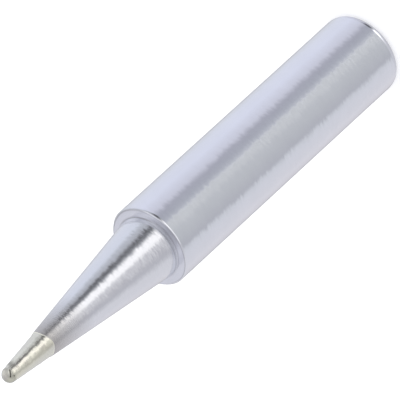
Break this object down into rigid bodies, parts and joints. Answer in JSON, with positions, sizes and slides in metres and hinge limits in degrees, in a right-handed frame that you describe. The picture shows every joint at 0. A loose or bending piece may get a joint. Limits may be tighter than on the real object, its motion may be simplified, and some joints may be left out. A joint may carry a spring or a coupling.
{
  "type": "soldering iron tip",
  "caption": "Slip-on soldering iron tip with a plated barrel, a tapered cone, a tinned ball nose and a blind heater bore.",
  "frame": {"origin": "centre of the flat rear face, on the tip's axis; the tip stands on that face", "axes": "+Z along the axis from the rear face to the nose; X and Y are across it and alike"},
  "size_m": [0.0065, 0.0064, 0.0435],
  "materials": {
    "plated_metal": "satin plating with fine turning marks on the barrel, brighter on the cone, and tinned at the nose"
  },
  "bodies": {
    "root": {"soldering_tip": "plated_metal"}
  },
  "joints": []
}
